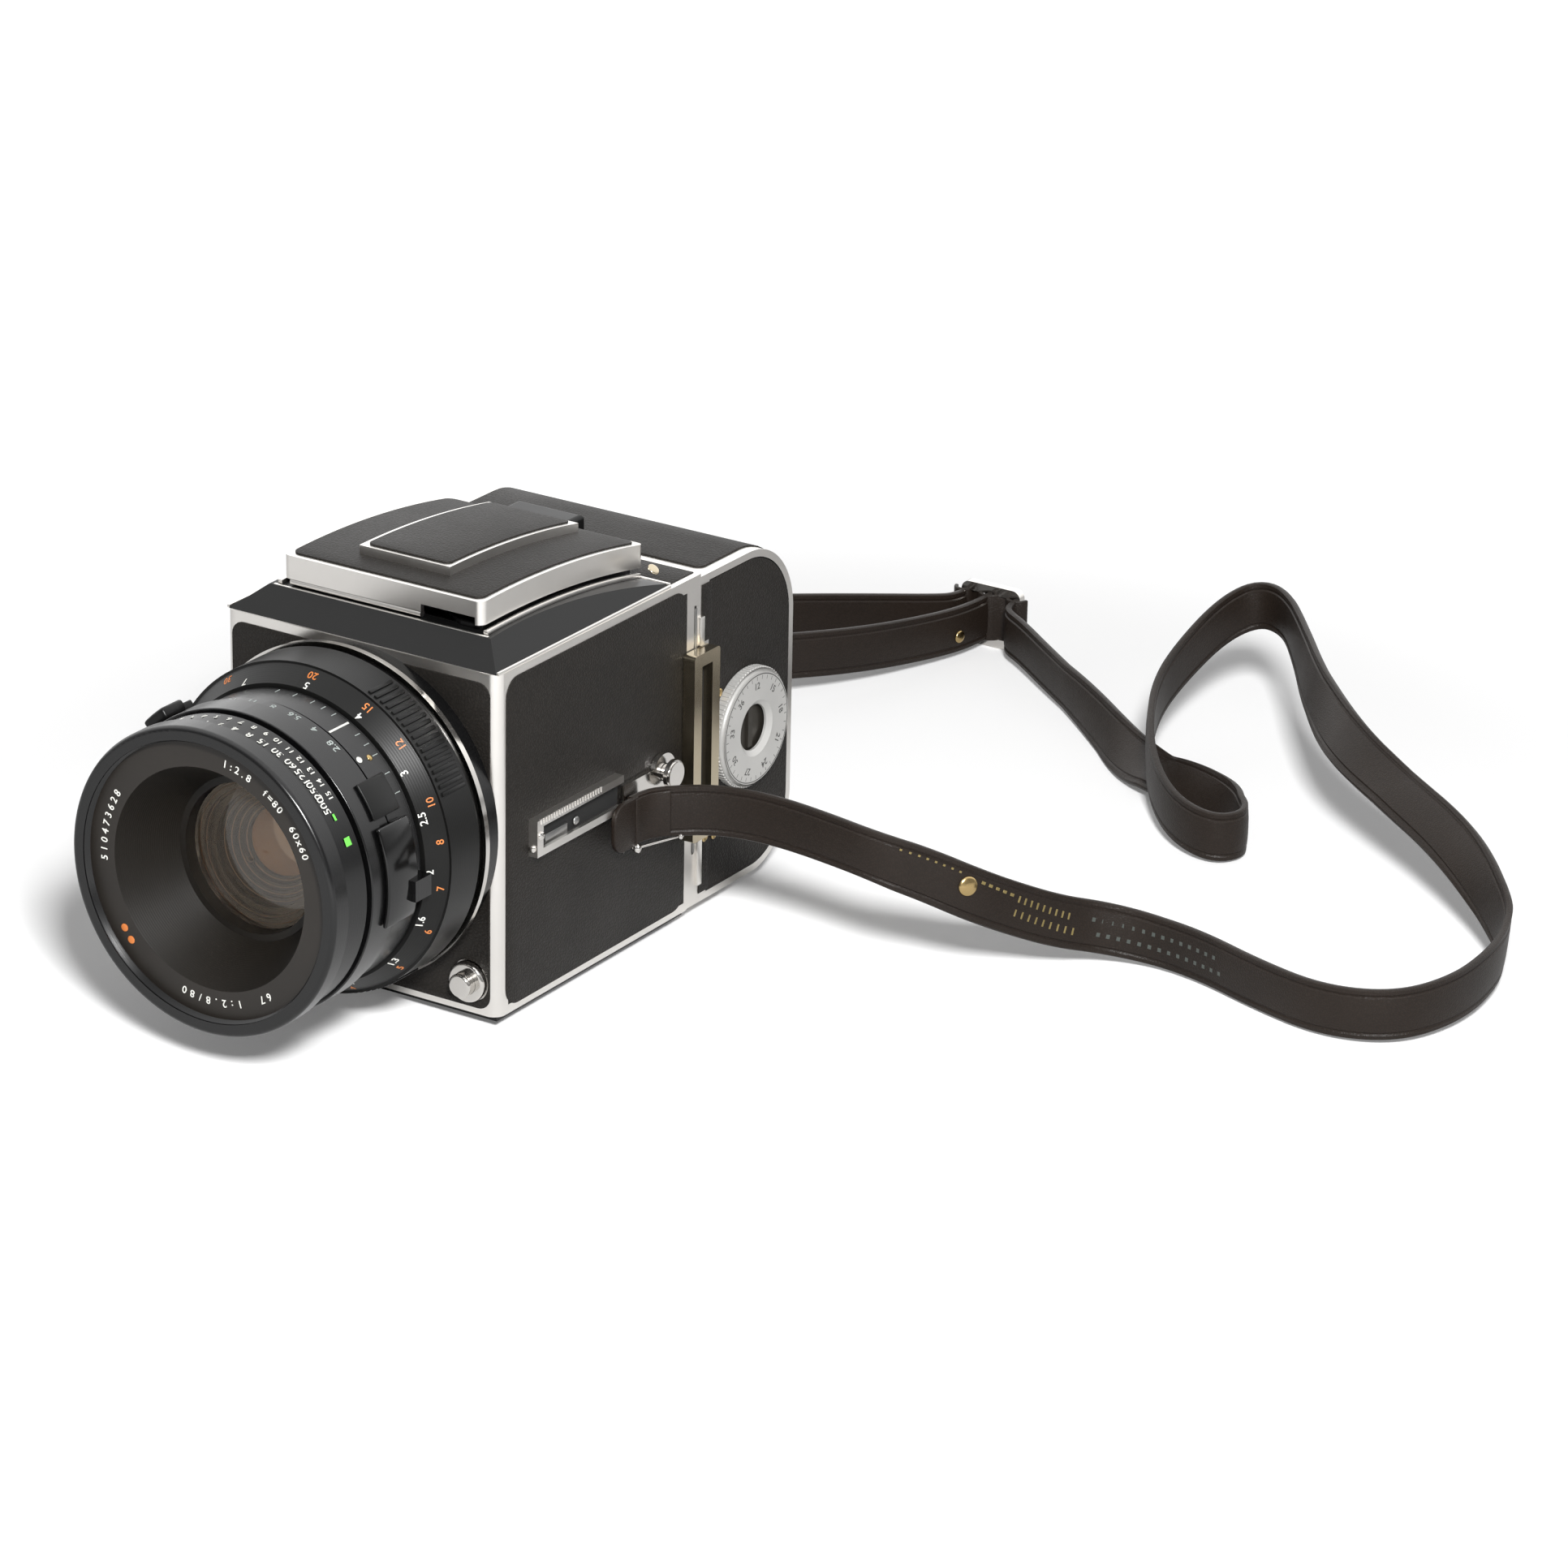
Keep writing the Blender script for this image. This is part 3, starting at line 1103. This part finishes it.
def makePanels():
    for name, sheet in panels.items():
        makePanel(name, sheet, name == "frontPanel")
    for name, (x, y, z, edge, finish) in trim.items():
        finishPiece(bar(x, y, z, edge), name, "camera", finish)
    k = railKnurl
    half = k["width"] / 2
    tooth = bar(k["x"], (k["first"] - half, k["first"] + half), k["z"], k["ease"])
    teeth = [copyPiece(tooth, Matrix.Translation((0, place * k["pitch"] * mm, 0)))
             for place in range(k["count"])]
    bpy.data.objects.remove(tooth)
    finishPiece(joinPieces(teeth), "railKnurl", "camera", "satinChrome")


makePanels()
print("panels made")

# Screws and rivets: head radius, place, the way each faces, its body and finish
fittings = {
    "hoodRivet": (1.5, (33.2, 30.0, 90.6), (0.62, 0, 0.78), "camera", "nickel"),
    "railScrewFront": (1.1, (40.95, -26.6, 44.6), (1, 0, 0), "camera", "brightChrome"),
    "railPin": (0.9, (39.6, -28.0, 41.5), (0.2, -1, 0), "camera", "brightChrome"),
    "railStud": (1.1, (39.3, -10.4, 42.6), (1, 0, 0), "camera", "steel"),
    "slideStop": (1.2, (38.5, 45.0, 19.6), (1, 0, 0), "camera", "brass"),
    "slideStopRear": (1.0, (38.3, 49.2, 18.6), (1, 0, 0), "film_insert", "brass"),
    "dialLatch": (1.1, (38.3, 51.0, 54.5), (1, 0, 0), "film_insert", "brass"),
}
screwHead = (0.35, 0.3)  # height of the rim, then of the dome


def makeFittings():
    for name, (radius, spot, way, body, finish) in fittings.items():
        turn = Vector(way).to_track_quat("Z", "Y").to_matrix().to_4x4()
        head = placeStud(Matrix.Translation(Vector(spot) * mm) @ turn, radius, *screwHead)
        finishPiece(head, name, body, finish)


makeFittings()
print("fittings made")

# Hardware on the strap, mm: places along it are from its first end
tooling = {
    "tab": {"x": (41.06, 42.42), "y": (1.6, 11.4), "z": (29.9, 42.1),
            "corner": 4.0, "cornerSteps": 7, "ease": 0.35},
    "fold": {"from": 0.6, "to": 11.6, "across": 5.7, "thickness": 0.5, "steps": 8, "ease": 0.3, "sunk": 0.1},
    "wire": {"radius": 0.28, "facets": 16, "ease": 0.08,
             "ends": [((42.4, 10.6, 29.3), 1.15), ((47.8, 20.8, 30.2), 0.75)]},
    "bead": {"facets": 24, "rings": 16, "waist": 0.25, "swell": (1.12, 1.12, 0.8), "smooth": 60},
    # along, across, radius, heights of rim and dome
    "strapRivet": (88.2, 1.4, 2.4, 0.5, 0.5), "buckleRivet": (221.2, -1.8, 1.7, 0.4, 0.4), "rivetSunk": 0.05,
    "markSunk": 0.06, "markHeight": 0.12,
    # along from and to, how many, across at both ends, length and width of a mark
    "strapToolingGilt": ("giltFoil", [
        (92.0, 101.5, 5, 3.3, 2.9, 1.1, 0.7), (104.0, 119.0, 9, 2.4, 1.6, 0.5, 1.6),
        (104.0, 121.0, 9, -0.9, -1.8, 0.5, 1.7), (70.0, 85.0, 8, 4.1, 3.9, 0.6, 0.5)]),
    "strapToolingFar": ("blindTooling", [
        (362.0, 412.0, 22, 1.6, -1.0, 0.5, 1.4), (362.0, 412.0, 22, -1.6, -3.6, 0.5, 1.4)]),
    "strapToolingLaced": ("blindTooling", [
        (126.0, 160.0, 14, 1.8, 1.8, 0.9, 1.0), (128.0, 162.0, 14, -1.6, -1.6, 0.9, 1.0)]),
}


def strapPlace(stations, along, across, lift):
    at = min(max(along / strap["step"], 0.0), len(stations) - 1.001)
    k = int(at)
    spot = stations[k][0].lerp(stations[k + 1][0], at - k)
    way, side, face = stations[k][1:]
    return placeOn(way, side, face, (spot + side * (across * mm) + face * (lift * mm)) / mm)


def strapMarks(rows):
    places = []
    lift = strap["crown"] - tooling["markSunk"]
    for start, stop, count, sideStart, sideStop, length, width in rows:
        tick = []
        for place in range(count):
            share = place / (count - 1)
            across = sideStart + (sideStop - sideStart) * share
            tick.append(strapPlace(longStations, start + (stop - start) * share, across, lift))
        places.append(tickMarks(tick, length, width, tooling["markHeight"]))
    return joinPieces(places)


def strapStud(name, stations):
    along, across, *head = tooling[name]
    piece = placeStud(strapPlace(stations, along, across, strap["crown"] - tooling["rivetSunk"]), *head)
    return finishPiece(piece, name, "camera", "brass")


def makeTab():
    # the strap's folded end past the clip, rounded at its free end
    t = tooling["tab"]
    inner, outer = t["x"]
    near, far = t["y"]
    low, high = t["z"]
    piece = drawLine([(inner, near, low), (inner, far, low), (inner, far, high), (inner, near, high)])
    bpy.ops.mesh.edge_face_add()
    pick(piece, "VERT", lambda p: p.y < near + 0.1)
    bpy.ops.mesh.bevel(offset=t["corner"] * mm, segments=t["cornerSteps"], affect="VERTICES")
    bpy.ops.mesh.select_all(action="SELECT")
    extrudeBy(outer - inner, 0, 0)
    leaveEdit()
    softenEdges(piece, t["ease"], 3, eases["sheetAngle"])
    return finishPiece(piece, "strapTab", "camera", "smoothLeather")


def makeFold():
    # the turned-back layer stitched on the strap's outer face beside the clip
    t = tooling["fold"]
    level, reach = strap["crown"] - t["sunk"], t["to"] - t["from"]

    def spot(along, across):
        return strapPlace(longStations, along, across, level).translation / mm

    piece = drawLine([tuple(spot(t["from"], side * t["across"])) for side in (-1, 1)])
    for step in range(1, t["steps"] + 1):
        before, after = (spot(t["from"] + reach * end / t["steps"], 0) for end in (step - 1, step))
        extrudeBy(*(after - before))
    thicken(piece, 2 * t["thickness"], t["ease"], 3)
    return finishPiece(piece, "strapFold", "camera", "smoothLeather")


def makeWire():
    t, b = tooling["wire"], tooling["bead"]
    (start, startRadius), (stop, stopRadius) = t["ends"]
    start, stop = Vector(start), Vector(stop)
    turn = (stop - start).to_track_quat("Z", "Y").to_matrix().to_4x4()
    rod = addPrimitive("cylinder", vertices=t["facets"], radius=t["radius"] * mm,
                       depth=(stop - start).length * mm)
    softenEdges(rod, t["ease"])
    rod.data.transform(Matrix.Translation((start + stop) / 2 * mm) @ turn)
    beads = []
    for spot, radius in ((start, startRadius), (stop, stopRadius)):
        bead = addPrimitive("uv_sphere", segments=b["facets"], ring_count=b["rings"], radius=radius * mm)
        pick(bead, "VERT", lambda p: abs(p.z) < radius * b["waist"])
        bpy.ops.transform.resize(value=b["swell"])
        leaveEdit()
        bead.data.transform(Matrix.Translation(spot * mm) @ turn)
        beads.append(bead)
    return finishPiece(joinPieces([rod, *beads]), "clipWire", "camera", "brightChrome", b["smooth"])


def makeTooling():
    made = [makeTab(), makeFold(), makeWire(), strapStud("strapRivet", longStations)]
    for name in ("strapToolingGilt", "strapToolingFar", "strapToolingLaced"):
        finish, rows = tooling[name]
        made.append(finishPiece(strapMarks(rows), name, "camera", finish))
    return made


toolingPieces = makeTooling()
ringFolds = {
    "x": [(-7.3, 2.25, "left"), (9.2, 2.7, "right")], "y": 239.5, "z": (2.2, 15.0), "bendSteps": 12,
    "thickness": 1.0, "ease": 0.3, "lacedThickness": 0.9, "lacedEase": 0.25,
    "laced": [(-5.4, 240.0), (-3.8, 239.8), (-2.3, 239.0), (-1.0, 237.6), (0.0, 236.9), (0.9, 236.7),
              (1.8, 236.9), (2.8, 237.6), (4.1, 239.0), (5.6, 239.8), (7.2, 240.0)],
}


def makeRingFolds():
    # the leather turned round the upright bars of the ring
    made = []
    r = ringFolds
    low, high = r["z"]
    for x, radius, name in r["x"]:
        piece = drawLine([(x - radius, r["y"], low), (x - radius, r["y"], high)])
        spinAbout((x, r["y"], 0), (0, 0, 1), 180, r["bendSteps"])
        thicken(piece, r["thickness"], r["ease"], 3)
        made.append(finishPiece(piece, name + "RingFold", "camera", "smoothLeather"))
    # and the leather that is laced over the middle bar
    piece = drawLine([(x, y, low) for x, y in r["laced"]])
    extrudeBy(0, 0, high - low)
    thicken(piece, r["lacedThickness"], r["lacedEase"], 3)
    made.append(finishPiece(piece, "middleRingFold", "camera", "smoothLeather"))
    return made


ringFoldPieces = makeRingFolds()
buckleRivet = strapStud("buckleRivet", frontStations)
print("strap tooling made")

print("cords declared")

lamps = {
    # one soft lamp, its size, its distance and the spot it faces in metres
    "skyForLight": 0.235, "keyWatts": 34.0, "keySize": 0.2, "keyDistance": 1.5, "keyAim": (0.05, 0.05, 0.0),
    "keyRight": 0.12, "keyAway": -1.3, "keyUp": 0.95,
    # how bright the room shows in a reflection, from its near side to its far side
    "mirrored": (0.3, 1.7), "mirroredFade": (-0.1, 0.7),
}
paper = {
    "size": 8.0, "height": -0.0001, "tone": "#fbfbfb", "roughness": 0.9, "gloss": 0.05,  # metres
    "mirrored": 0.76,  # grey of the floor in a reflection
    # only the camera sees the floor lift to white, between two distances from the centre
    "fade": (0.2, 0.45), "centre": (0.07, 0.05, 0.0), "glow": 1.6, "lift": 0.08,
}


def makeFloor():
    deselectAll()
    bpy.ops.mesh.primitive_plane_add(size=paper["size"], location=(0, 0, paper["height"]))
    floor = bpy.context.object
    floor.name = "floor"
    material, tree, shader, place = newMaterial("whitePaperFloor", paper["tone"], paper["roughness"],
                                                Specular_IOR_Level=paper["gloss"])
    ray = addNode(tree, "LightPath")
    tone = addNode(tree, "Mix", {"A": hexColour(paper["tone"]), "B": (*[paper["mirrored"]] * 3, 1.0)},
                   {"Factor": ray.outputs["Is Glossy Ray"]}, data_type="RGBA")
    feedShader(tree, shader, Base_Color=tone.outputs["Result"])
    reach = addNode(tree, "VectorMath", {1: paper["centre"]}, {0: place}, operation="DISTANCE")
    near, far = paper["fade"]
    fade = addNode(tree, "MapRange", {"From Min": near, "From Max": far, "To Min": paper["lift"]},
                   {"Value": reach.outputs["Value"]}, interpolation_type="SMOOTHSTEP")
    share = addNode(tree, "Math", None, {0: fade.outputs[0], 1: ray.outputs["Is Camera Ray"]},
                    operation="MULTIPLY")
    glow = addNode(tree, "Emission", {"Strength": paper["glow"]})
    blend = addNode(tree, "MixShader", None,
                    {0: share.outputs[0], 1: shader.outputs[0], 2: glow.outputs[0]})
    tree.links.new(blend.outputs[0], tree.nodes["Material Output"].inputs["Surface"])
    floor.data.materials.append(material)


def makeRoom(away):
    # bright behind and above the camera's far side, dim on the near side, and plain white to the eye
    world = bpy.data.worlds.new("studio")
    bpy.context.scene.world = world
    world.use_nodes = True
    tree = world.node_tree
    ray = addNode(tree, "LightPath")
    facing = addNode(tree, "VectorMath", {1: (away + Vector((0, 0, 1))).normalized()},
                     {0: addNode(tree, "TexCoord").outputs["Generated"]}, operation="DOT_PRODUCT")
    (near, far), (dim, bright) = lamps["mirroredFade"], lamps["mirrored"]
    room = addNode(tree, "MapRange", {"From Min": near, "From Max": far, "To Min": dim, "To Max": bright},
                   {"Value": facing.outputs["Value"]}, interpolation_type="SMOOTHSTEP")
    seen, through = ray.outputs["Is Camera Ray"], ray.outputs["Is Transmission Ray"]
    plain = addNode(tree, "Math", None, {0: seen, 1: through}, operation="MAXIMUM")
    lit = addNode(tree, "Mix", {"A": lamps["skyForLight"], "B": 1.0}, {"Factor": plain.outputs[0]})
    strength = addNode(tree, "Mix", None, {"Factor": ray.outputs["Is Glossy Ray"],
                                           "A": lit.outputs["Result"], "B": room.outputs[0]})
    sky = tree.nodes["Background"]
    sky.inputs["Color"].default_value = (1, 1, 1, 1)
    tree.links.new(strength.outputs["Result"], sky.inputs["Strength"])


def makeLamp(level, away):
    aim = level * lamps["keyRight"] + away * lamps["keyAway"] + Vector((0, 0, lamps["keyUp"]))
    lamp = bpy.data.lights.new("softbox", "AREA")
    lamp.energy = lamps["keyWatts"]
    lamp.size = lamps["keySize"]
    box = bpy.data.objects.new("softbox", lamp)
    bpy.context.collection.objects.link(box)
    box.location = aim.normalized() * lamps["keyDistance"] + Vector(lamps["keyAim"])
    box.rotation_mode = "QUATERNION"
    box.rotation_quaternion = aim.to_track_quat("Z", "Y")


level = viewAxes()[3]
away = Vector((-level.y, level.x, 0.0))
makeFloor()
makeRoom(away)
makeLamp(level, away)
print("stage made")
bpy.context.scene.view_settings.view_transform = "Standard"
print("sizes written")
